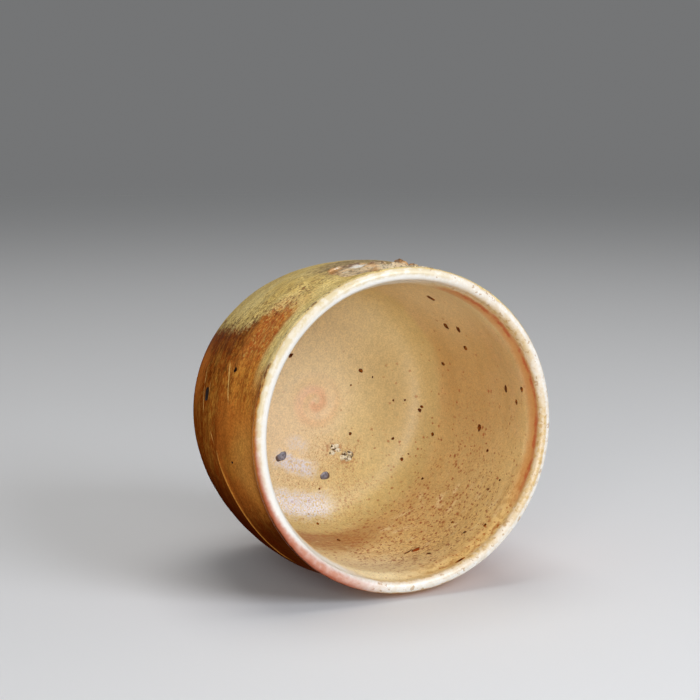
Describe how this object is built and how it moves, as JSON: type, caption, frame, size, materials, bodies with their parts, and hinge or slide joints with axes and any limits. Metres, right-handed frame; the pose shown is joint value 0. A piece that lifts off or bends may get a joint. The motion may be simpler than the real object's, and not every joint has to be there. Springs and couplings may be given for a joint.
{
  "type": "yunomi tea cup",
  "caption": "Handleless hand-thrown tea cup with a flared lip, shallow waist, rounded belly and turned foot ring, glazed inside, over the lip and outside, with ash and stones fired on.",
  "frame": {"origin": "centre of the foot ring's resting face, on the table", "axes": "+Z along the cup's axis, out of the mouth; the picture's top of the lying cup is -X and its left side is -Y"},
  "size_m": [0.0852, 0.0852, 0.07],
  "materials": {
    "fired_clay": "bare fired stoneware clay, matt, toasted brown",
    "bare_foot_clay": "bare turned stoneware clay, matt and slightly gritty",
    "liner_glaze": "thin satin cream-yellow glaze with brown iron stipple",
    "white_lip_glaze": "glossy white glaze, cream and pink at its edges",
    "ash_glaze": "glossy amber-brown ash glaze, olive and yellow where the ash fell",
    "ash_crust": "rough fused ash, dark with cream and amber lumps",
    "feldspar_stone": "pale melted stone with dark pits",
    "iron_slag": "glassy blue-grey iron drop"
  },
  "bodies": {
    "root": {"clay_body": "fired_clay", "foot_ring": "bare_foot_clay", "liner_glaze": "liner_glaze", "lip_glaze": "white_lip_glaze", "outer_glaze": "ash_glaze", "ash_crust": "ash_crust", "stone_chips": "feldspar_stone", "slag_drops": "iron_slag"}
  },
  "joints": []
}
